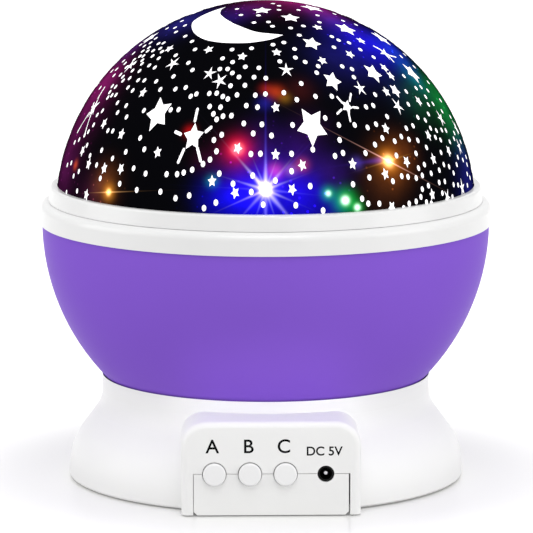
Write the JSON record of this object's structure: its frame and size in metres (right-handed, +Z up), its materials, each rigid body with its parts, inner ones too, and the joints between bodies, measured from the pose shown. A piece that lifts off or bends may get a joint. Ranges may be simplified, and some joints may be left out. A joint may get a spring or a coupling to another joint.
{
  "type": "star night light projector",
  "caption": "Rotating star projector night light: starry dome with a white collar on a purple bowl, over a flared white base with buttons and a power socket.",
  "frame": {"origin": "on the axis of the centre post, at the level that the rubber feet rest on", "axes": "+Z up along the post, -Y out of the front panel, +X to the right seen from the front"},
  "size_m": [0.13, 0.13, 0.1378],
  "materials": {
    "white_shell": "satin moulded white plastic",
    "white_button": "glossy white plastic",
    "purple_bowl": "smooth satin purple plastic",
    "dome_print": "gloss black printed shell with clear stars and dots",
    "board_green": "green solder mask",
    "black_plastic": "matt black plastic",
    "natural_nylon": "natural nylon",
    "steel": "plated steel",
    "screw_steel": "nickel-plated steel",
    "rubber_feet": "soft grey rubber",
    "cell_wrap": "plain printed battery sleeve",
    "lead_sheath": "PVC sheath",
    "led_white": "clear epoxy",
    "led_red": "red epoxy",
    "led_green": "green epoxy",
    "led_blue": "blue epoxy"
  },
  "bodies": {
    "base": {"base_shell": "white_shell", "base_plate": "white_shell", "base_screws": "screw_steel", "rubber_feet": "rubber_feet", "control_board": "board_green", "board_parts": "black_plastic", "tact_switches": "black_plastic", "dc_jack": "black_plastic", "jack_pin": "steel", "gear_motor": "steel", "motor_screws": "screw_steel", "led_post": "white_shell", "post_screws": "screw_steel", "thrust_washer": "natural_nylon", "retaining_clip": "steel", "led_board": "white_shell", "led_board_screws": "screw_steel", "led_white": "led_white", "led_red": "led_red", "led_green": "led_green", "led_blue": "led_blue", "battery_cells": "cell_wrap", "contact_springs": "steel", "contact_plates": "steel", "led_cable": "lead_sheath", "motor_leads": "lead_sheath", "battery_leads": "lead_sheath"},
    "bowl": {"bowl_shell": "purple_bowl", "bowl_rim": "white_shell", "reflector_tray": "white_shell", "tray_screws": "screw_steel", "drive_gear": "natural_nylon", "gear_screws": "screw_steel", "bowl_bush": "natural_nylon"},
    "dome": {"dome_collar": "white_shell", "star_dome": "dome_print"},
    "pinion": {"pinion": "natural_nylon", "motor_shaft": "steel"},
    "button_a": {"button_a": "white_button", "plunger_a": "black_plastic"},
    "button_b": {"button_b": "white_button", "plunger_b": "black_plastic"},
    "button_c": {"button_c": "white_button", "plunger_c": "black_plastic"},
    "battery_door": {"battery_door": "white_shell", "door_screw": "screw_steel"}
  },
  "joints": [
    {"name": "bowl_spin", "type": "hinge", "parent": "base", "child": "bowl", "pos_m": [0, 0, 0.0245], "axis": [0, 0, 1], "continuous": true},
    {"name": "pinion_spin", "type": "hinge", "parent": "base", "child": "pinion", "pos_m": [0, -0.024, 0.0222], "axis": [0, 0, 1], "continuous": true},
    {"name": "dome_lift", "type": "slide", "parent": "bowl", "child": "dome", "axis": [0, 0, 1], "range_m": [0, 0.07]},
    {"name": "button_a_press", "type": "slide", "parent": "base", "child": "button_a", "axis": [0, 1, 0], "range_m": [0, 0.0008], "stiffness_N_per_m": 400},
    {"name": "button_b_press", "type": "slide", "parent": "base", "child": "button_b", "axis": [0, 1, 0], "range_m": [0, 0.0008], "stiffness_N_per_m": 400},
    {"name": "button_c_press", "type": "slide", "parent": "base", "child": "button_c", "axis": [0, 1, 0], "range_m": [0, 0.0008], "stiffness_N_per_m": 400},
    {"name": "battery_door_hinge", "type": "hinge", "parent": "base", "child": "battery_door", "pos_m": [0, -0.0063, 0.0008], "axis": [-1, 0, 0], "range_deg": [0, 80]}
  ],
  "couplings": [
    {"joint": "pinion_spin", "follows": "bowl_spin", "ratio": -4}
  ]
}
